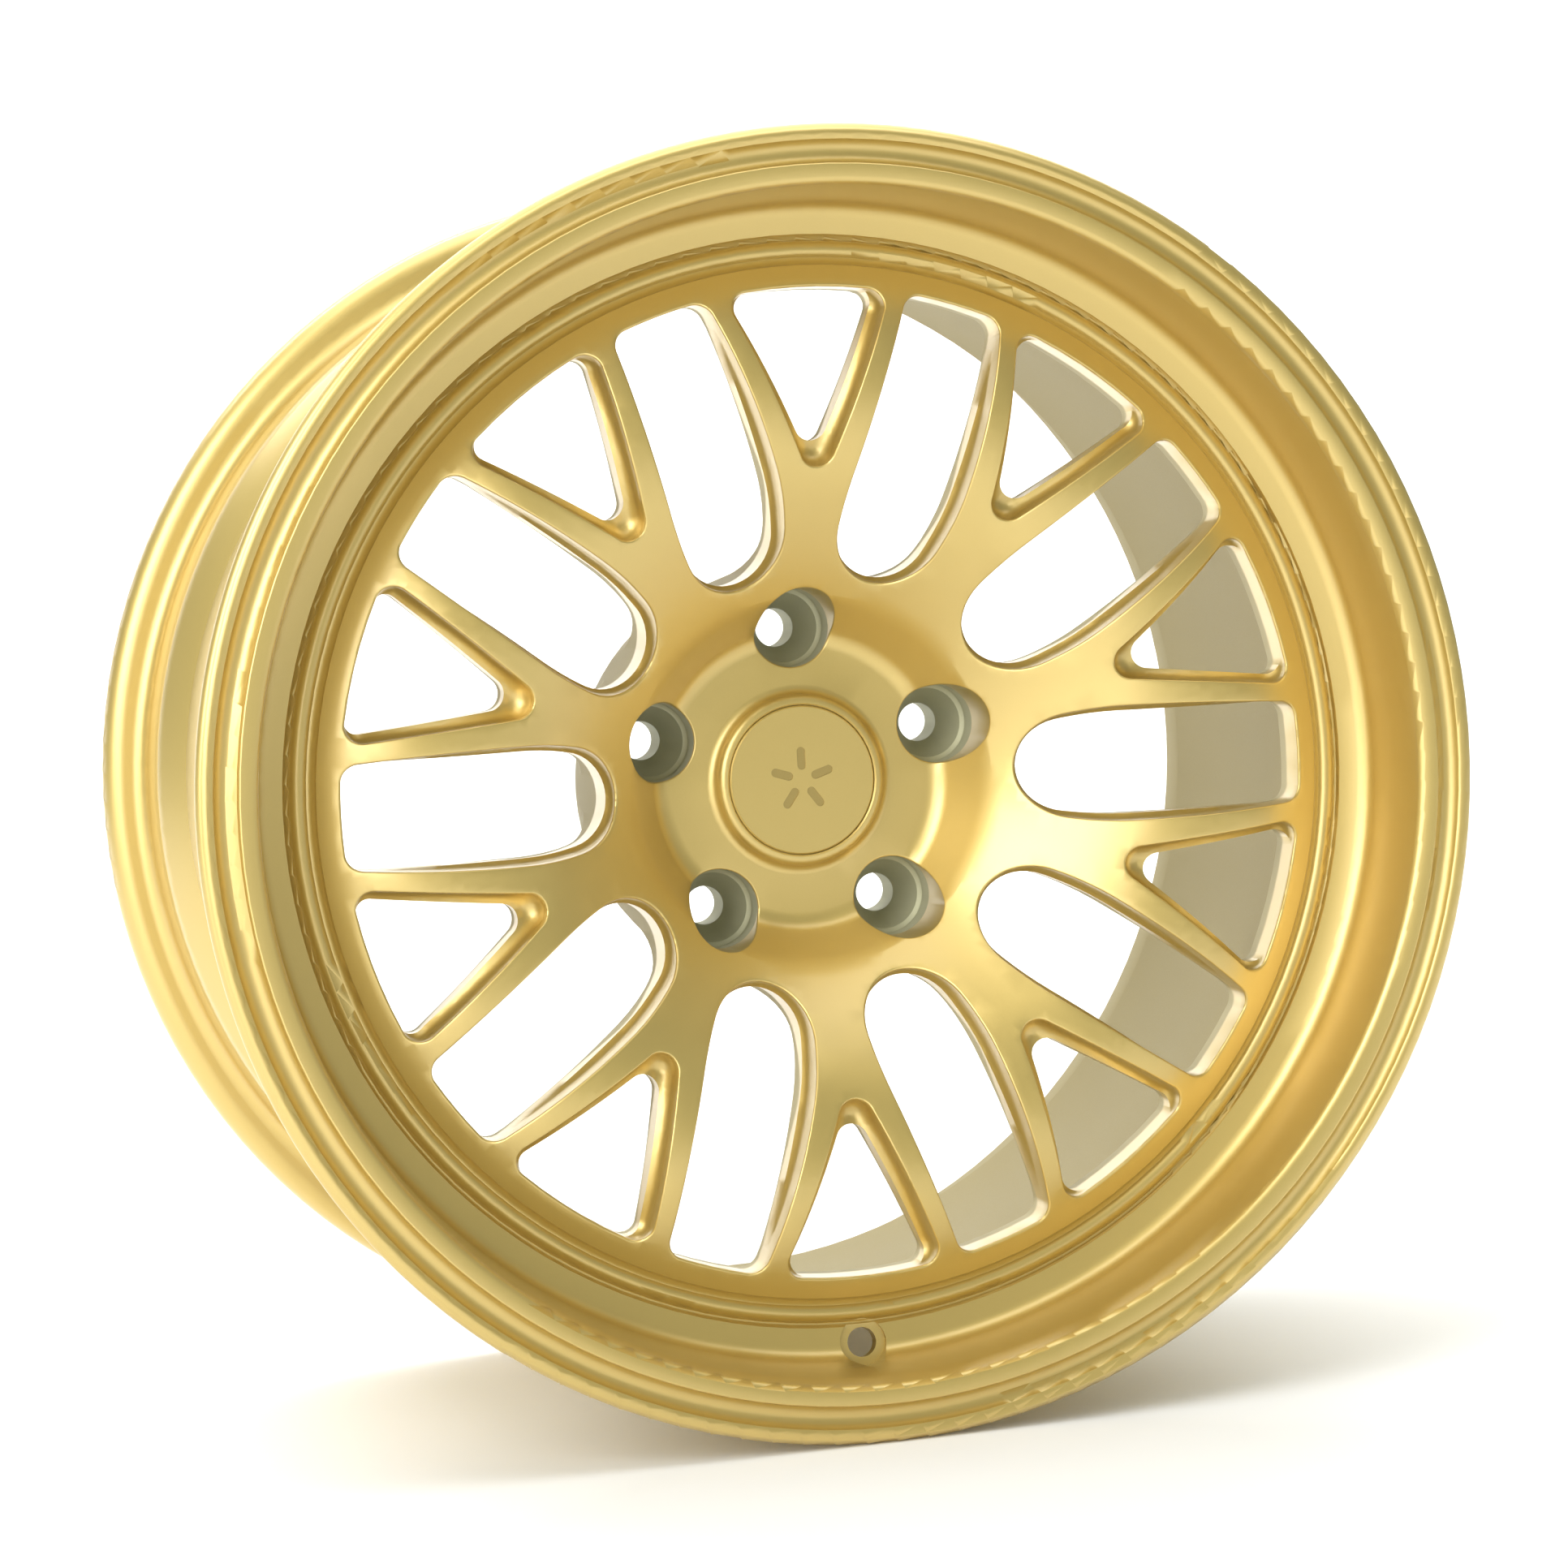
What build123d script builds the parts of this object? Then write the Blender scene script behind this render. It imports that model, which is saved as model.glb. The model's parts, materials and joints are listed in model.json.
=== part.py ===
from build123d import *
import math
import os

os.makedirs("parts", exist_ok=True)

# Forged monobloc wheel, 18 x 11 inch, 5 x 120 mm, with a snap-in centre cap.
# Origin: centre of the hub mounting face. The axle is the Y axis, the outboard
# side faces -Y, and +Z is up, with one lug hole at the top.
# "Outboard" heights below are distances from the mounting face towards -Y.

# ---- driving dimensions (mm) ----
rim_width = 279.4            # 11 inches between the two flange faces
offset_from_centre = 20.0    # mounting face outboard of the rim centre line
seat_radius = 231.0          # 18-inch bead seat
flange_height = 17.5
flange_radius = seat_radius + flange_height
flange_crown = 8.0           # flange face to the circle of greatest radius

lug_count = 5
lug_circle_radius = 60.0
lug_hole_radius = 7.7
window_count = 10
hub_bore_radius = 36.3

cap_radius = 29.3
cap_gap = 0.3
cap_top = 45.5
cap_seat = 42.2

front_face = rim_width / 2 - offset_from_centre
rear_face = -rim_width / 2 - offset_from_centre
front_crown = front_face + flange_crown
rear_crown = rear_face - flange_crown

# ---- working planes ----
# SECTION: x is the radius, y is the outboard height. FACE looks at the wheel.
SECTION = Plane(origin=(0, 0, 0), x_dir=(1, 0, 0), z_dir=(0, 0, -1))
FACE = Plane.XZ

# ---- outline of the spoke face, hub pad to the outer groove ----
pad_height = 40.2
pad_outer = 52.2
root_start = (72.3, 61.5)
face_middle = (112.0, 90.2)
face_crest = (155.0, 101.8)
dish_end = (198.6, 88.6)
shelf_end = (217.0, 87.0)

# ---- one tenth of the wheel blank: the turned section, swept over one window ----
# The tenth is centred on +Z. Ten of them, joined, make the whole wheel.
tenth_angle = 360 / window_count

with BuildPart() as blank_tenth:
    with BuildSketch(SECTION):
        with BuildLine():
            # hub, from the mounting face up the bore to the cap seat
            Polyline(
                (78.0, 0.0),
                (hub_bore_radius, 0.0),
                (hub_bore_radius, 13.0),
                (27.6, 17.0),
                (27.6, cap_seat),
                (cap_radius + cap_gap, cap_seat),
                (cap_radius + cap_gap, 45.0),
                (30.2, 45.6),
                (31.4, 45.6),
            )
            ThreePointArc((31.4, 45.6), (33.0, 44.6), (33.8, 43.0))
            ThreePointArc((33.8, 43.0), (35.2, 41.0), (37.7, pad_height))
            Line((37.7, pad_height), (pad_outer, pad_height))
            ThreePointArc((pad_outer, pad_height), (57.0, 41.4), (60.4, 44.5))
            Polyline((60.4, 44.5), (65.4, 51.6), root_start)
            # spoke face: three arcs that run into each other, level at the crest
            crest_arc = TangentArc(face_crest, face_middle, tangent=(-1, 0))
            TangentArc(face_middle, root_start, tangent=crest_arc % 1)
            TangentArc(face_crest, dish_end, tangent=(1, 0))
            # shallow hollow, bead and the narrow groove
            ThreePointArc(dish_end, (199.9, 86.3), (201.8, 85.4))
            ThreePointArc((201.8, 85.4), (205.2, 87.2), (208.2, 84.4))
            ThreePointArc((208.2, 84.4), (209.1, 83.5), (210.0, 84.3))
            # shelf and the deep lip wall
            Polyline((210.0, 84.3), (210.6, 85.2), shelf_end)
            TangentArc(
                shelf_end, (222.4, 93.4), tangent=(shelf_end[0] - 210.6, shelf_end[1] - 85.2)
            )
            Line((222.4, 93.4), (225.6, 128.6))
            ThreePointArc((225.6, 128.6), (226.5, 130.9), (228.4, 131.9))
            Line((228.4, 131.9), (232.6, 132.6))
            # outer flange: crisp step into the clip recess, crown and tyre side
            ThreePointArc((232.6, 132.6), (233.2, 132.3), (233.4, 131.7))
            Line((233.4, 131.7), (233.7, 129.8))
            ThreePointArc((233.7, 129.8), (236.8, 127.4), (242.4, 130.4))
            ThreePointArc((242.4, 130.4), (244.6, 131.2), (246.5, 130.4))
            ThreePointArc((246.5, 130.4), (flange_radius, front_crown), (247.2, 124.6))
            ThreePointArc((247.2, 124.6), (244.2, 121.2), (240.0, front_face))
            Line((240.0, front_face), (237.5, front_face))
            ThreePointArc((237.5, front_face), (232.9, 117.8), (seat_radius, 113.2))
            # outside of the barrel: bead seat, hump, well and cylinder
            Line((seat_radius, 113.2), (229.5, 96.0))
            ThreePointArc((229.5, 96.0), (230.3, 90.0), (229.0, 84.0))
            Polyline(
                (229.0, 84.0),
                (222.0, 78.0),
                (214.0, 75.5),
                (210.0, 72.0),
                (210.0, 34.0),
                (220.4, 12.0),
                (220.4, -114.0),
                (228.6, -125.0),
            )
            ThreePointArc((228.6, -125.0), (230.2, -129.6), (229.4, -134.0))
            Line((229.4, -134.0), (seat_radius, -153.2))
            ThreePointArc((seat_radius, -153.2), (232.9, -157.8), (237.5, rear_face))
            Line((237.5, rear_face), (240.0, rear_face))
            ThreePointArc((240.0, rear_face), (246.0, -162.2), (flange_radius, rear_crown))
            ThreePointArc((flange_radius, rear_crown), (246.4, -172.2), (241.6, -174.0))
            Line((241.6, -174.0), (234.0, -174.0))
            ThreePointArc((234.0, -174.0), (230.9, -172.8), (229.4, -170.0))
            # inside of the barrel, back to the spokes and the hub
            Polyline(
                (229.4, -170.0),
                (224.2, -158.0),
                (223.0, -128.0),
                (213.6, -114.0),
                (213.6, 8.0),
                (203.4, 30.0),
                (203.4, 56.0),
                (198.0, 70.0),
                (188.0, 75.5),
            )
            ThreePointArc((188.0, 75.5), (138.0, 76.5), (104.0, 60.0))
            ThreePointArc((104.0, 60.0), (90.0, 42.0), (84.0, 20.0))
            Polyline((84.0, 20.0), (82.0, 3.0), (78.0, 0.0))
        make_face()
    revolve(axis=Axis.Y, revolution_arc=tenth_angle)

centred_tenth = blank_tenth.part.rotate(Axis.Y, -90 - tenth_angle / 2)


# ---- window cutters ----
# Each window is a pocket with a rounded floor corner, and a narrower cut through
# it. The rest of the floor corner stays as a hollow ledge along the spoke.
cutter_top = 140.0           # above every face of the wheel
overlap = 1.0                # how far a cutter reaches past the face it starts from
pocket_corner = 6.0          # radius between a pocket's wall and its floor


def crown_curve(depth):
    """Spoke face outline, lowered by depth, as two arcs ending clear of the windows."""
    start = (root_start[0], root_start[1] - depth)
    middle = (face_middle[0], face_middle[1] - depth)
    crest = (face_crest[0], face_crest[1] - depth)
    end = (dish_end[0], dish_end[1] - depth)
    with BuildLine() as curve:
        to_middle = TangentArc(crest, middle, tangent=(-1, 0))
        TangentArc(middle, start, tangent=to_middle % 1)
        TangentArc(crest, end, tangent=(1, 0))
    return curve.line


def space_above(depth):
    """Ring of space above the spoke face lowered by depth."""
    with BuildPart() as space:
        with BuildSketch(SECTION):
            with BuildLine():
                add(crown_curve(depth))
                Polyline(
                    (dish_end[0], dish_end[1] - depth),
                    (dish_end[0], cutter_top),
                    (root_start[0], cutter_top),
                    (root_start[0], root_start[1] - depth),
                )
            make_face()
        revolve(axis=Axis.Y)
    return space.part


# large windows: a round hub end and slightly bowed sides
window_tip = 80.6            # radius of the hub end
window_nose_radius = 20.5
window_half_width = 22.4
window_widest = 120.0        # radius of the widest place
window_end = 190.0           # radius of the outer end
window_end_half_width = 19.4
window_corner = 7.0
window_floor = 15.0          # below the spoke face
window_ledge = 2.2           # the through cut is narrower than the pocket by this


def window_hub_end(inset):
    """Round hub end of a large window: nose arc and shoulder arc, right half."""
    nose = window_nose_radius - inset
    nose_centre = window_tip + window_nose_radius
    run = window_widest - nose_centre
    rise = window_half_width - window_nose_radius
    shoulder = nose + (run**2 + rise**2) / (2 * rise)
    lean = math.degrees(math.asin(run / (shoulder - nose)))
    with BuildLine() as hub_end:
        nose_arc = JernArc((0, nose_centre - nose), (1, 0), nose, 90 - lean)
        JernArc(nose_arc @ 1, nose_arc % 1, shoulder, lean)
    return hub_end.line


window_end_height = math.sqrt(window_end**2 - window_end_half_width**2)
with BuildSketch(FACE) as window_mouth:
    with BuildLine():
        add(window_hub_end(0.0))
        TangentArc(
            (window_half_width, window_widest),
            (window_end_half_width, window_end_height),
            tangent=(0, 1),
        )
        mirror(about=Plane.YZ)
        ThreePointArc(
            (window_end_half_width, window_end_height),
            (0, window_end),
            (-window_end_half_width, window_end_height),
        )
    make_face()
    fillet(window_mouth.vertices().sort_by(Axis.Y)[-2:], window_corner)

window_core_half = window_half_width - window_ledge
with BuildSketch(FACE) as window_core:
    with BuildLine():
        add(window_hub_end(window_ledge))
        Polyline(
            (window_core_half, window_widest),
            (window_core_half, window_end + window_corner),
            (0, window_end + window_corner),
        )
        mirror(about=Plane.YZ)
    make_face()

with BuildPart() as large_window_cutter:
    extrude(window_mouth.sketch, amount=cutter_top)
    add(space_above(window_floor), mode=Mode.INTERSECT)
    floor_edges = large_window_cutter.faces().sort_by(Axis.Y)[-1].edges()
    fillet(floor_edges, pocket_corner)
    through = window_mouth.sketch & window_core.sketch
    extrude(through, amount=cutter_top)

# triangular windows: straight sides, a deeper ledge at the apex
triangle_slope = 0.428       # half width gained per millimetre of radius
triangle_sharp_apex = 110.9  # where the two sides would meet
triangle_apex_radius = 7.0
triangle_corner = 6.5
triangle_floor = 12.0
throat_slope = 0.452
throat_sharp_apex = 122.6
throat_apex_radius = 6.4
throat_corner = 5.5


def triangle_sketch(slope, sharp_apex, apex_radius, corner):
    """Triangular window with its outer side on the window end circle."""
    # where a side meets the circle: x = slope * (y - apex), x^2 + y^2 = end^2
    a = 1 + slope**2
    b = slope**2 * sharp_apex
    end_y = (b + math.sqrt(b**2 - a * (slope**2 * sharp_apex**2 - window_end**2))) / a
    end_x = slope * (end_y - sharp_apex)
    with BuildSketch(FACE) as triangle:
        with BuildLine():
            Polyline((-end_x, end_y), (0, sharp_apex), (end_x, end_y))
            ThreePointArc((end_x, end_y), (0, window_end), (-end_x, end_y))
        make_face()
        by_height = triangle.vertices().sort_by(Axis.Y)
        fillet(by_height[0], apex_radius)
        fillet(triangle.vertices().sort_by(Axis.Y)[-2:], corner)
    return triangle.sketch


with BuildPart() as triangle_cutter:
    extrude(
        triangle_sketch(triangle_slope, triangle_sharp_apex, triangle_apex_radius, triangle_corner),
        amount=cutter_top,
    )
    add(space_above(triangle_floor), mode=Mode.INTERSECT)
    floor_edges = triangle_cutter.faces().sort_by(Axis.Y)[-1].edges()
    fillet(floor_edges, pocket_corner)
    extrude(
        triangle_sketch(throat_slope, throat_sharp_apex, throat_apex_radius, throat_corner),
        amount=cutter_top,
    )

# ---- lug pockets: through hole, conical seat, tool clearance ----
LUG_SECTION = Plane(origin=(0, 0, lug_circle_radius), x_dir=(1, 0, 0), z_dir=(0, 0, -1))
lug_axis = Axis((0, 0, lug_circle_radius), (0, 1, 0))
seat_start = 14.9            # outboard height where the conical seat begins
pocket_radius = 15.6

with BuildPart() as lug_cutter:
    with BuildSketch(LUG_SECTION):
        with BuildLine():
            Polyline(
                (0, -overlap),
                (lug_hole_radius, -overlap),
                (lug_hole_radius, seat_start),
                (10.9, 20.9),
                (13.9, 28.4),
                (15.0, 28.9),
                (pocket_radius, 29.6),
                (pocket_radius, cutter_top),
                (0, cutter_top),
                close=True,
            )
        make_face()
    revolve(axis=lug_axis)

# ---- valve hole, opposite the top lug, spot faced on both sides ----
# The outboard spot face runs out through the lip wall.
valve_place_radius = 217.0
valve_place_height = 85.0    # of the spot face
valve_lean = 8.0             # degrees, against the axle
valve_wall = 5.5
valve_hole_radius = 5.75
spot_face_radius = 9.25
spot_face_run = 60.0         # outboard, clear of the lip
tyre_side_radius = 8.0
tyre_side_run = 14.0
VALVE = Plane(
    origin=(0, -valve_place_height, -valve_place_radius),
    x_dir=(1, 0, 0),
    z_dir=(0, -math.cos(math.radians(valve_lean)), math.sin(math.radians(valve_lean))),
)

with BuildPart() as valve_cutter:
    with BuildSketch(VALVE):
        Circle(spot_face_radius)
    extrude(amount=spot_face_run)
    with BuildSketch(VALVE.offset(-valve_wall)):
        Circle(tyre_side_radius)
    extrude(amount=-tyre_side_run)
    with BuildSketch(VALVE.offset(overlap)):
        Circle(valve_hole_radius)
    extrude(amount=-valve_wall - 2 * overlap)

# ---- the forging: ten tenths, every second one with a lug pocket ----
edge_round = 0.8             # on the mouths of the windows and of the lug pockets


def crown_height(radius):
    """Outboard height of the spoke face at a radius."""
    if radius < face_middle[0]:
        share = (radius - root_start[0]) / (face_middle[0] - root_start[0])
        return root_start[1] + share * (face_middle[1] - root_start[1])
    far_end = face_middle if radius < face_crest[0] else dish_end
    run = far_end[0] - face_crest[0]
    drop = face_crest[1] - far_end[1]
    bend = (run**2 + drop**2) / (2 * drop)
    return face_crest[1] - bend + math.sqrt(bend**2 - (radius - face_crest[0]) ** 2)


def at_mouth(edge):
    """True for a window edge that lies in the spoke face, away from the joints."""
    middle = edge @ 0.5
    radius = math.hypot(middle.X, middle.Z)
    angle = abs(math.degrees(math.atan2(middle.X, middle.Z)))
    along_joint = math.isclose(angle, tenth_angle / 2, abs_tol=0.01)
    return not along_joint and -middle.Y > crown_height(radius) - pocket_corner


with BuildPart() as spoke_tenth:
    add(centred_tenth)
    add(
        [
            triangle_cutter.part,
            large_window_cutter.part.rotate(Axis.Y, tenth_angle / 2),
            large_window_cutter.part.rotate(Axis.Y, -tenth_angle / 2),
        ],
        mode=Mode.SUBTRACT,
    )
    mouth_edges = [edge for edge in spoke_tenth.edges(Select.NEW) if at_mouth(edge)]
    fillet(mouth_edges, edge_round)

with BuildPart() as lug_tenth:
    add(spoke_tenth.part)
    add(lug_cutter.part, mode=Mode.SUBTRACT)
    new_edges = lug_tenth.edges(Select.NEW)
    fillet([edge for edge in new_edges if -(edge @ 0.5).Y > pad_height - overlap], edge_round)

with BuildPart() as valve_tenth:
    add(spoke_tenth.part.rotate(Axis.Y, 180))
    add(valve_cutter.part, mode=Mode.SUBTRACT)

tenths = []
for i in range(window_count):
    if i == window_count // 2:
        tenths.append(valve_tenth.part)
    elif i % 2 == 0:
        tenths.append(lug_tenth.part.rotate(Axis.Y, i * tenth_angle))
    else:
        tenths.append(spoke_tenth.part.rotate(Axis.Y, i * tenth_angle))

with BuildPart() as wheel_forging:
    add(tenths, clean=False)

wheel_forging.part.label = "wheel_forging"
export_step(wheel_forging.part, "parts/wheel_forging.step")

# ---- centre cap: painted disc with a ring of snap legs ----
leg_outer = 27.2
leg_inner = 25.3
leg_end = 19.0
leg_chamfer = 1.0
leg_root = 2.0               # thickening where a leg meets the disc
leg_count = 8
slot_width = 3.0
slot_end = 39.2              # outboard height where the slots between the legs stop
edge_chamfer = 0.6
emblem_depth = 0.4
emblem_ring = 8.5            # petal centres, from the axle
emblem_length = 9.0
emblem_width = 3.4
wire_radius = 0.8
wire_height = 24.0
wire_gap = 0.05
wire_wrap = 340.0            # degrees round the axle; its ends don't meet
wire_ring_radius = leg_inner - 0.35

with BuildPart() as center_cap:
    with BuildSketch(SECTION):
        with BuildLine():
            Polyline(
                (0, cap_top),
                (cap_radius - edge_chamfer, cap_top),
                (cap_radius, cap_top - edge_chamfer),
                (cap_radius, cap_seat),
                (leg_outer, cap_seat),
                (leg_outer, leg_end + leg_chamfer),
                (leg_outer - leg_chamfer, leg_end),
                (leg_inner, leg_end),
                (leg_inner, cap_seat - leg_root),
                (leg_inner - leg_root, cap_seat),
                (0, cap_seat),
                close=True,
            )
        make_face()
    revolve(axis=Axis.Y)
    with BuildSketch(FACE.offset(leg_end - overlap)):
        with PolarLocations(0, leg_count):
            Rectangle(2 * cap_radius, slot_width, align=(Align.MIN, Align.CENTER))
    extrude(amount=slot_end - leg_end + overlap, mode=Mode.SUBTRACT)
    with BuildSketch(SECTION):
        with Locations((wire_ring_radius, wire_height)):
            Circle(wire_radius + wire_gap)
    revolve(axis=Axis.Y, mode=Mode.SUBTRACT)

    # engraved rosette, one petal for each lug hole
    with BuildSketch(FACE.offset(cap_top - emblem_depth)):
        with PolarLocations(emblem_ring, lug_count, start_angle=90):
            SlotOverall(emblem_length, emblem_width)
    extrude(amount=overlap, mode=Mode.SUBTRACT)

center_cap.part.label = "center_cap"
export_step(center_cap.part, "parts/center_cap.step")

# ---- wire ring that keeps the legs pressed outwards ----
with BuildPart() as cap_spring_ring:
    with BuildSketch(SECTION):
        with Locations((wire_ring_radius, wire_height)):
            Circle(wire_radius)
    revolve(axis=Axis.Y, revolution_arc=wire_wrap)

cap_spring_ring.part.label = "cap_spring_ring"
export_step(cap_spring_ring.part, "parts/cap_spring_ring.step")
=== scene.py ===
import json
import math

import bmesh
import bpy
from mathutils import Matrix, Vector


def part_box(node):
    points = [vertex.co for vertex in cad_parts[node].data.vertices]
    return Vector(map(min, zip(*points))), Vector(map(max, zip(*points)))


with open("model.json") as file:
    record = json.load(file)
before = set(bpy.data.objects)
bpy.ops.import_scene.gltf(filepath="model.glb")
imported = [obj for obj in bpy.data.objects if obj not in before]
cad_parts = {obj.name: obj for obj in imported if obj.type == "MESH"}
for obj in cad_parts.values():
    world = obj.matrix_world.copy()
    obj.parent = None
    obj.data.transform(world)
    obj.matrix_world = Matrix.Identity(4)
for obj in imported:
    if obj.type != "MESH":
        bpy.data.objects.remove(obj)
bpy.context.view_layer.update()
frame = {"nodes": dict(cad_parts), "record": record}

# Forged racing wheel: satin gold paint on the CAD forging, its centre cap and
# the cap's spring wire. Everything is in metres, in the frame of the CAD. The
# axle is the Y axis, the outboard side faces -Y, and +Z is up.
# "Outboard" heights are distances from the mounting face towards -Y.


# ---- node helpers ----
def new_material(name):
    """A node material, its node tree and its Principled shader."""
    material = bpy.data.materials.new(name)
    material.use_nodes = True
    return material, material.node_tree, material.node_tree.nodes["Principled BSDF"]


def add_node(tree, kind, **values):
    """One node, with settings by attribute name and inputs by socket name."""
    node = tree.nodes.new(kind)
    for key, value in values.items():
        if key in node.inputs:
            node.inputs[key].default_value = value
        else:
            setattr(node, key, value)
    return node


def feed(tree, socket, value):
    """Link a socket to another socket, or give it a plain value."""
    if isinstance(value, bpy.types.NodeSocket):
        tree.links.new(value, socket)
    else:
        socket.default_value = value


def calc(tree, operation, *values):
    """One Math node; each value is a number or another node's output."""
    node = add_node(tree, "ShaderNodeMath", operation=operation)
    for socket, value in zip(node.inputs, values):
        feed(tree, socket, value)
    return node.outputs[0]


def split(tree, vector):
    """X, Y and Z outputs of a vector output."""
    node = add_node(tree, "ShaderNodeSeparateXYZ")
    tree.links.new(vector, node.inputs[0])
    return node.outputs


def joined(tree, x, y, z):
    """Vector output made of three numbers or outputs."""
    node = add_node(tree, "ShaderNodeCombineXYZ")
    for socket, value in zip(node.inputs, (x, y, z)):
        feed(tree, socket, value)
    return node.outputs[0]


def length(tree, first, second):
    """Length of a flat vector with these two parts."""
    squared = calc(tree, "MULTIPLY", first, first)
    return calc(tree, "SQRT", calc(tree, "MULTIPLY_ADD", second, second, squared))


def ramp(tree, value, start, end, low=0.0, high=1.0):
    """Smooth change from low to high while value goes from start to end."""
    node = add_node(tree, "ShaderNodeMapRange", interpolation_type="SMOOTHSTEP")
    numbers = {"Value": value, "From Min": start, "From Max": end, "To Min": low, "To Max": high}
    for name, number in numbers.items():
        feed(tree, node.inputs[name], number)
    return node.outputs["Result"]


def mixed(tree, share, first, second):
    """Colour between two colours; each is a tuple or another node's output."""
    node = add_node(tree, "ShaderNodeMix", data_type="RGBA")
    feed(tree, node.inputs["Factor"], share)
    for name, colour in (("A", first), ("B", second)):
        feed(tree, node.inputs[name], (*colour, 1.0) if isinstance(colour, tuple) else colour)
    return node.outputs["Result"]


# ---- where on the wheel a point lies ----
lug_holes = next(mount for mount in frame["record"]["mounts"] if mount["name"] == "lug_holes")
LUG_COUNT = lug_holes["dims"]["count"]
LUG_CIRCLE = lug_holes["dims"]["pcd_mm"] / 2000
POCKET_RADIUS = 0.0156
POCKET_TOP = 0.0398          # outboard height of a lug pocket's rim
CAP_TOP = -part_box("center_cap")[0].y
ENGRAVED_REACH = 0.015       # radius of the rosette
BARREL_TOP = 0.060           # outboard height where the barrel's inside starts
BARREL_WALL = 0.190          # radius
WINDOW_HUB_END = 0.078       # radius
WINDOW_RIM_END = 0.196       # radius


class WheelPlace:
    """Radius, outboard height and facing of the shaded point, as node outputs."""

    def __init__(self, tree):
        self.tree = tree
        self.point = add_node(tree, "ShaderNodeTexCoord").outputs["Object"]
        facing = add_node(tree, "ShaderNodeNewGeometry").outputs["True Normal"]
        self.x, y, self.z = split(tree, self.point)
        facing_x, facing_y, facing_z = split(tree, facing)
        self.out = calc(tree, "MULTIPLY", y, -1.0)
        self.radius = length(tree, self.x, self.z)
        outward = calc(tree, "MULTIPLY", facing_x, self.x)
        outward = calc(tree, "MULTIPLY_ADD", facing_z, self.z, outward)
        self.outward = calc(tree, "DIVIDE", outward, self.radius)
        self.upright = calc(tree, "ABSOLUTE", facing_y)

    def both(self, first, second):
        """1 where both masks are 1."""
        return calc(self.tree, "MULTIPLY", first, second)

    def lug_pockets(self):
        """1 inside the five lug pockets and round their holes."""
        tree = self.tree
        half = math.pi / LUG_COUNT
        angle = calc(tree, "ARCTAN2", self.x, self.z)
        folded = calc(tree, "WRAP", angle, half, -half)
        side = calc(tree, "MULTIPLY", self.radius, calc(tree, "SINE", folded))
        reach = calc(tree, "MULTIPLY", self.radius, calc(tree, "COSINE", folded))
        reach = calc(tree, "SUBTRACT", reach, LUG_CIRCLE)
        away = length(tree, side, reach)
        near = ramp(tree, away, POCKET_RADIUS + 0.0002, POCKET_RADIUS + 0.0001)
        return self.both(near, ramp(tree, self.out, POCKET_TOP, POCKET_TOP - 0.001))

    def engraving(self):
        """1 in the rosette cut into the cap's face."""
        below = ramp(self.tree, self.out, CAP_TOP - 0.00005, CAP_TOP - 0.0003)
        return self.both(below, ramp(self.tree, self.radius, ENGRAVED_REACH, ENGRAVED_REACH - 0.0005))

    def barrel_inside(self):
        """1 on the inside of the barrel, fading in behind the spokes."""
        inward = ramp(self.tree, self.outward, -0.2, -0.5)
        behind = ramp(self.tree, self.out, BARREL_TOP, BARREL_TOP - 0.008)
        outer = ramp(self.tree, self.radius, BARREL_WALL, BARREL_WALL + 0.006)
        return self.both(self.both(inward, behind), outer)

    def window_walls(self):
        """1 on the steep walls deep in the windows."""
        steep = ramp(self.tree, self.upright, 0.45, 0.25)
        floor = ramp(self.tree, self.radius, 0.072, 0.128, 0.042, 0.082)
        depth = calc(self.tree, "SUBTRACT", floor, self.out)
        deep = ramp(self.tree, depth, 0.0, 0.003)
        rim_end = ramp(self.tree, self.radius, WINDOW_RIM_END, WINDOW_RIM_END - 0.004)
        hub_end = ramp(self.tree, self.radius, WINDOW_HUB_END, WINDOW_HUB_END + 0.004)
        return self.both(self.both(steep, deep), self.both(rim_end, hub_end))


# ---- materials ----
GOLD = (0.60, 0.43, 0.105)
GOLD_LIGHT = (0.68, 0.505, 0.155)
# painted shade for the recess of the cap's engraving
ENGRAVING_SHADE_GOLD = (0.44, 0.31, 0.07)
# painted reflection: grey-green in the lug pockets stands in for the backdrop they mirror
POCKET_REFLECTION_GREY = (0.45, 0.44, 0.30)
# painted shade: darker beige inside the barrel, behind the spokes
BARREL_SHADE_BEIGE = (0.37, 0.30, 0.13)
# painted reflection: pale beige on the deep window walls
WALL_REFLECTION_BEIGE = (0.52, 0.46, 0.28)
WIRE_DARK = (0.42, 0.42, 0.43)
WIRE_LIGHT = (0.66, 0.66, 0.67)

SATIN_METAL = 0.85
SATIN_SMOOTHEST = 0.42       # roughness
SATIN_ROUGHEST = 0.48
DULL_METAL_DROP = 0.35       # where the coat is thin
DULL_ROUGHER = 0.15
TONE_SCALE = 9.0             # features per metre
FLAKE_SCALE = 2600.0
PEEL_SCALE = 420.0
FLAKE_SHARE = 0.55


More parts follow.
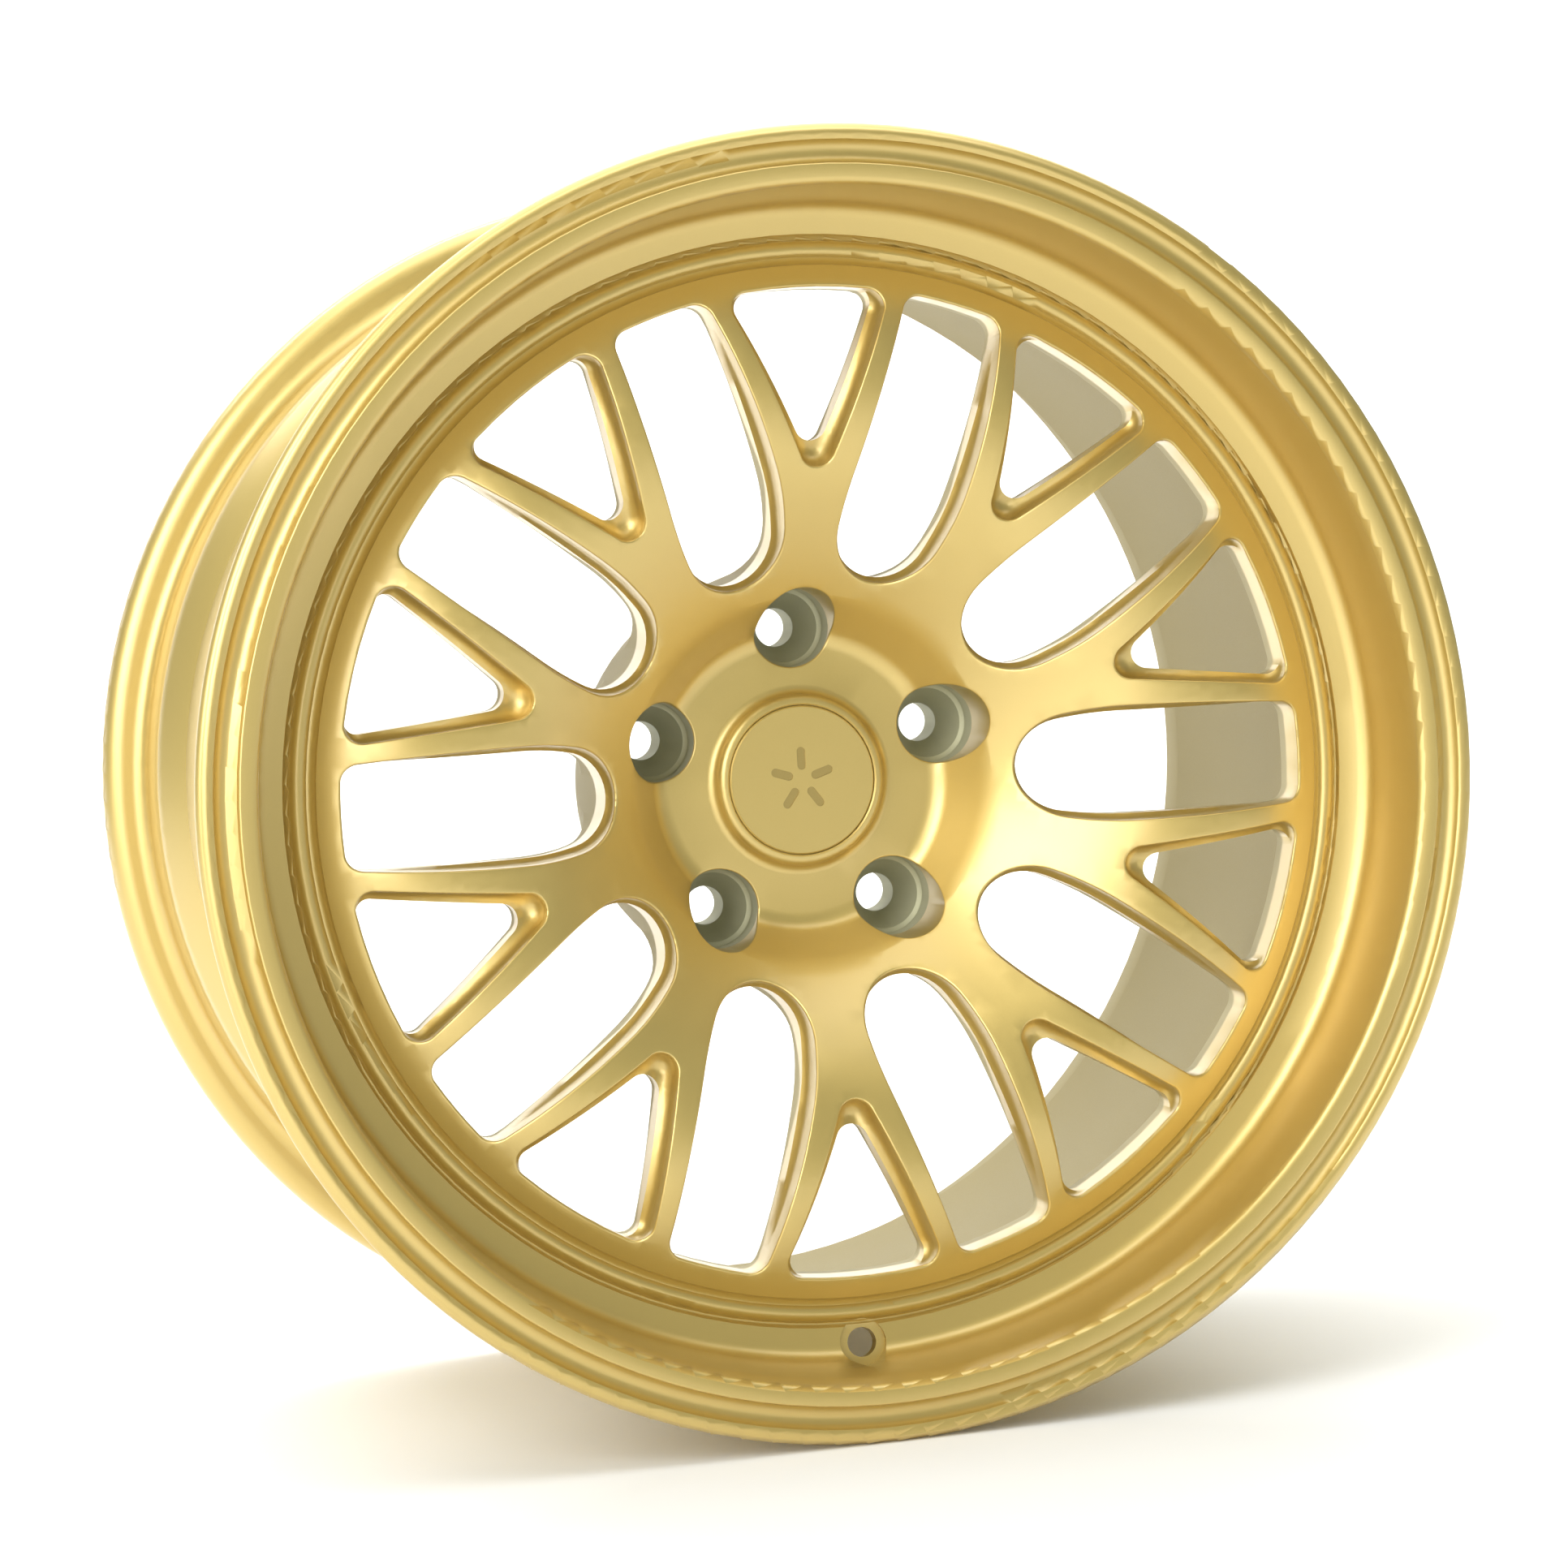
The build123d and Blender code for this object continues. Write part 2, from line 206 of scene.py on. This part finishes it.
def satin_paint(name):
    """Satin metallic paint: fine flake, faint orange peel and slow tone changes.

    Gives the material, its tree and shader, the point's place, and the colour
    and roughness outputs, for wheel_paint and cap_paint to link.
    """
    material, tree, shader = new_material(name)
    shader.inputs["Metallic"].default_value = SATIN_METAL
    shader.inputs["Coat Weight"].default_value = 1.0
    shader.inputs["Coat Roughness"].default_value = 0.30
    shader.inputs["Coat IOR"].default_value = 1.75
    place = WheelPlace(tree)
    tone = add_node(tree, "ShaderNodeTexNoise", Scale=TONE_SCALE, Detail=2.0)
    flake = add_node(tree, "ShaderNodeTexNoise", Scale=FLAKE_SCALE, Detail=1.0)
    peel = add_node(tree, "ShaderNodeTexNoise", Scale=PEEL_SCALE, Detail=2.0)
    for noise in (tone, flake, peel):
        tree.links.new(place.point, noise.inputs["Vector"])
    share = calc(tree, "MULTIPLY", tone.outputs["Fac"], 1.0 - FLAKE_SHARE)
    share = calc(tree, "MULTIPLY_ADD", flake.outputs["Fac"], FLAKE_SHARE, share)
    colour = mixed(tree, share, GOLD, GOLD_LIGHT)
    rough = ramp(tree, flake.outputs["Fac"], 0.3, 0.7, SATIN_SMOOTHEST, SATIN_ROUGHEST)
    bump = add_node(tree, "ShaderNodeBump", Strength=0.05, Distance=0.0002)
    tree.links.new(peel.outputs["Fac"], bump.inputs["Height"])
    tree.links.new(bump.outputs["Normal"], shader.inputs["Normal"])
    return material, tree, shader, place, colour, rough


def wheel_paint():
    """Satin gold; the lug pockets, the barrel's inside and the deep window walls get painted
    reflection and painted shade in their colour, and a rougher, less metallic finish with less coat.
    """
    material, tree, shader, place, colour, rough = satin_paint("gold_paint")
    pockets = place.lug_pockets()
    inside = place.barrel_inside()
    walls = place.window_walls()
    # painted reflection on the deep window walls
    colour = mixed(tree, walls, colour, WALL_REFLECTION_BEIGE)
    # painted shade inside the barrel
    colour = mixed(tree, inside, colour, BARREL_SHADE_BEIGE)
    # painted reflection in the lug pockets
    colour = mixed(tree, pockets, colour, POCKET_REFLECTION_GREY)
    dull = calc(tree, "MAXIMUM", calc(tree, "MAXIMUM", pockets, inside), walls)
    rough = calc(tree, "MULTIPLY_ADD", dull, DULL_ROUGHER, rough)
    metal = calc(tree, "MULTIPLY_ADD", dull, -DULL_METAL_DROP, SATIN_METAL)
    tree.links.new(metal, shader.inputs["Metallic"])
    tree.links.new(calc(tree, "SUBTRACT", 1.0, dull), shader.inputs["Coat Weight"])
    tree.links.new(colour, shader.inputs["Base Color"])
    tree.links.new(rough, shader.inputs["Roughness"])
    return material


def cap_paint():
    """Satin gold, with painted shade in the engraving."""
    material, tree, shader, place, colour, rough = satin_paint("cap_paint")
    # painted shade darkens the engraving
    colour = mixed(tree, place.engraving(), colour, ENGRAVING_SHADE_GOLD)
    tree.links.new(colour, shader.inputs["Base Color"])
    tree.links.new(rough, shader.inputs["Roughness"])
    return material


def drawn_wire():
    """Bright spring wire with a faint mottle."""
    material, tree, shader = new_material("spring_steel")
    shader.inputs["Metallic"].default_value = 1.0
    shader.inputs["Roughness"].default_value = 0.28
    point = add_node(tree, "ShaderNodeTexCoord").outputs["Object"]
    mottle = add_node(tree, "ShaderNodeTexNoise", Scale=900.0, Detail=3.0)
    tree.links.new(point, mottle.inputs["Vector"])
    tone = mixed(tree, mottle.outputs["Fac"], WIRE_DARK, WIRE_LIGHT)
    tree.links.new(tone, shader.inputs["Base Color"])
    return material


def plain_matt(name, colour, roughness):
    """Matt studio surface with a barely visible unevenness."""
    material, tree, shader = new_material(name)
    shader.inputs["Roughness"].default_value = roughness
    noise = add_node(tree, "ShaderNodeTexNoise", Scale=3.0, Detail=2.0)
    darker = tuple(0.985 * part for part in colour)
    tree.links.new(mixed(tree, noise.outputs["Fac"], darker, colour), shader.inputs["Base Color"])
    return material


# ---- even shading over the CAD's face borders ----
WELD = 0.00002               # closer points become one
SHARP = math.radians(28.0)   # edges that bend more stay sharp
RINGS_PER_METRE = 20000.0    # rings of points are told apart to 1/20 mm
SIDE_SPREAD = math.radians(9.0)
TURNED_FROM = 0.1995         # outside this radius the wheel is turned all round


def ring_number(tree, radius, height, side):
    """Whole number that stands for one ring of points, and one side of its edge."""
    number = add_node(tree, "FunctionNodeHashValue", data_type="VECTOR")
    tree.links.new(joined(tree, radius, height, side), number.inputs["Value"])
    return number.outputs[0]


def ring_average(tree, value, ring):
    """Mean of a corner value over all corners of the same ring."""
    total = add_node(tree, "GeometryNodeAccumulateField", data_type="FLOAT", domain="CORNER")
    count = add_node(tree, "GeometryNodeAccumulateField", data_type="FLOAT", domain="CORNER")
    tree.links.new(value, total.inputs["Value"])
    count.inputs["Value"].default_value = 1.0
    for node in (total, count):
        tree.links.new(ring, node.inputs["Group ID"])
    return calc(tree, "DIVIDE", total.outputs["Total"], count.outputs["Total"])


def welded_smooth(tree, geometry):
    """The mesh in one skin, shaded smooth up to SHARP."""
    weld = add_node(tree, "GeometryNodeMergeByDistance", Distance=WELD)
    bend = add_node(tree, "GeometryNodeInputMeshEdgeAngle")
    sharp = add_node(tree, "FunctionNodeCompare", data_type="FLOAT", operation="GREATER_THAN")
    sharp.inputs["B"].default_value = SHARP
    smooth = tree.nodes.new("GeometryNodeSetMeshNormal")
    smooth.inputs["Remove Custom"].default_value = True
    tree.links.new(geometry, weld.inputs["Geometry"])
    tree.links.new(bend.outputs["Unsigned Angle"], sharp.inputs["A"])
    tree.links.new(weld.outputs["Geometry"], smooth.inputs["Mesh"])
    tree.links.new(sharp.outputs["Result"], smooth.inputs["Edge Sharpness"])
    return smooth.outputs["Mesh"]


def even_normal(tree):
    """Normal of a corner; on the turned surfaces, the mean of its ring."""
    normal = tree.nodes.new("GeometryNodeInputNormal").outputs["Normal"]
    x, y, z = split(tree, tree.nodes.new("GeometryNodeInputPosition").outputs[0])
    normal_x, along, normal_z = split(tree, normal)
    radius = length(tree, x, z)
    outward = calc(tree, "MULTIPLY", normal_x, x)
    outward = calc(tree, "MULTIPLY_ADD", normal_z, z, outward)
    outward = calc(tree, "DIVIDE", outward, radius)
    slope = calc(tree, "ARCTAN2", outward, along)

    # first mean: over each ring
    radius_step = calc(tree, "ROUND", calc(tree, "MULTIPLY", radius, RINGS_PER_METRE))
    height_step = calc(tree, "ROUND", calc(tree, "MULTIPLY", y, RINGS_PER_METRE))
    ring = ring_number(tree, radius_step, height_step, 0.0)
    mean_outward = ring_average(tree, outward, ring)
    mean_along = ring_average(tree, along, ring)
    mean_slope = calc(tree, "ARCTAN2", mean_outward, mean_along)

    # second mean: over each side of a sharp edge on the ring
    off_mean = calc(tree, "SUBTRACT", slope, mean_slope)
    off_mean = calc(tree, "WRAP", off_mean, math.pi, -math.pi)
    side = calc(tree, "SIGN", calc(tree, "SNAP", off_mean, SIDE_SPREAD))
    sided_ring = ring_number(tree, radius_step, height_step, side)
    even_outward = ring_average(tree, outward, sided_ring)
    even_along = ring_average(tree, along, sided_ring)
    even_x = calc(tree, "DIVIDE", calc(tree, "MULTIPLY", even_outward, x), radius)
    even_z = calc(tree, "DIVIDE", calc(tree, "MULTIPLY", even_outward, z), radius)

    chosen = add_node(tree, "ShaderNodeMix", data_type="VECTOR")
    tree.links.new(calc(tree, "GREATER_THAN", radius, TURNED_FROM), chosen.inputs["Factor"])
    tree.links.new(normal, chosen.inputs["A"])
    tree.links.new(joined(tree, even_x, even_along, even_z), chosen.inputs["B"])
    return chosen.outputs["Result"]


def even_shading():
    """Modifier group: weld the face borders, shade smooth, and even out the rings.

    The turned surfaces are rings of points round the axle. Each ring takes one
    normal, so highlights run round the rim without flicker.
    """
    tree = bpy.data.node_groups.new("even_shading", "GeometryNodeTree")
    tree.interface.new_socket("Geometry", in_out="INPUT", socket_type="NodeSocketGeometry")
    tree.interface.new_socket("Geometry", in_out="OUTPUT", socket_type="NodeSocketGeometry")
    start = tree.nodes.new("NodeGroupInput")
    end = tree.nodes.new("NodeGroupOutput")
    rings = add_node(tree, "GeometryNodeSetMeshNormal", mode="FREE", domain="CORNER")
    tree.links.new(welded_smooth(tree, start.outputs[0]), rings.inputs["Mesh"])
    tree.links.new(even_normal(tree), rings.inputs["Custom Normal"])
    tree.links.new(rings.outputs["Mesh"], end.inputs[0])
    return tree


finishes = {
    "wheel_forging": wheel_paint(),
    "center_cap": cap_paint(),
    "cap_spring_ring": drawn_wire(),
}
shading = even_shading()
for node_name, finish in finishes.items():
    node = frame["nodes"][node_name]
    node.data.materials.clear()
    node.data.materials.append(finish)
    node.modifiers.new("even_shading", "NODES").node_group = shading

# ---- floor and backdrop: one seamless sweep ----
FLOOR_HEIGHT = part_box("wheel_forging")[0].z
SWEEP_FRONT = -4.0
SWEEP_BACK = 3.2
SWEEP_BEND = 1.2
SWEEP_TOP = 4.0
SWEEP_HALF = 5.0
SWEEP_STEPS = 24
STUDIO_WHITE = (0.93, 0.93, 0.94)


def seamless_sweep():
    """Floor that bends up into the backdrop, as one smooth strip."""
    outline = [(SWEEP_FRONT, FLOOR_HEIGHT), (SWEEP_BACK, FLOOR_HEIGHT)]
    for i in range(1, SWEEP_STEPS + 1):
        turn = math.radians(90 * i / SWEEP_STEPS)
        reach = SWEEP_BACK + SWEEP_BEND * math.sin(turn)
        outline.append((reach, FLOOR_HEIGHT + SWEEP_BEND * (1 - math.cos(turn))))
    outline.append((SWEEP_BACK + SWEEP_BEND, SWEEP_TOP))
    mesh = bpy.data.meshes.new("sweep")
    grid = bmesh.new()
    left, right = ([grid.verts.new((x, y, z)) for y, z in outline] for x in (-SWEEP_HALF, SWEEP_HALF))
    for i in range(len(outline) - 1):
        face = grid.faces.new((left[i], right[i], right[i + 1], left[i + 1]))
        face.smooth = True
    grid.to_mesh(mesh)
    grid.free()
    sweep = bpy.data.objects.new("sweep", mesh)
    bpy.context.scene.collection.objects.link(sweep)
    mesh.materials.append(plain_matt("studio_white", STUDIO_WHITE, 0.8))


seamless_sweep()


# ---- light ----
def softbox(name, place, aim, size, power):
    """A large rectangular area light that looks at a point."""
    data = bpy.data.lights.new(name, "AREA")
    data.shape = "RECTANGLE"
    data.size, data.size_y = size
    data.energy = power
    lamp = bpy.data.objects.new(name, data)
    lamp.location = place
    lamp.rotation_euler = (Vector(aim) - Vector(place)).to_track_quat("-Z", "Y").to_euler()
    bpy.context.scene.collection.objects.link(lamp)


hub = (0, 0, 0)
backdrop = (0, 3.4, 0.4)
softbox("key", (-2.2, -1.7, 1.2), hub, (1.6, 2.0), 60.0)
softbox("left_front", (-1.9, -3.4, 0.0), hub, (1.6, 2.2), 36.0)
softbox("top", (0.0, -0.3, 2.6), hub, (3.0, 2.4), 50.0)
softbox("back_wash", (0.0, 2.0, 2.8), backdrop, (5.0, 1.5), 190.0)

world = bpy.data.worlds.new("studio")
bpy.context.scene.world = world
world.use_nodes = True
surroundings = world.node_tree.nodes["Background"]
surroundings.inputs["Color"].default_value = (0.86, 0.92, 0.80, 1.0)
surroundings.inputs["Strength"].default_value = 0.44

# ---- camera ----
camera_place = Vector((-0.4604, -1.7797, 0.0876))
camera_ahead = Vector((0.2885, 0.9561, -0.0516)).normalized()
camera_up = Vector((0.0694, 0.0328, 0.9970))

camera_data = bpy.data.cameras.new("camera")
camera_data.lens = 104.87
camera_data.sensor_width = 36.0
camera_data.shift_x = -0.1098
camera = bpy.data.objects.new("camera", camera_data)
camera_right = camera_ahead.cross(camera_up).normalized()
true_up = camera_right.cross(camera_ahead)
camera_turn = Matrix((camera_right, true_up, -camera_ahead)).transposed()
camera.matrix_world = Matrix.Translation(camera_place) @ camera_turn.to_4x4()
bpy.context.scene.collection.objects.link(camera)
bpy.context.scene.camera = camera
bpy.context.scene.view_settings.view_transform = "Standard"
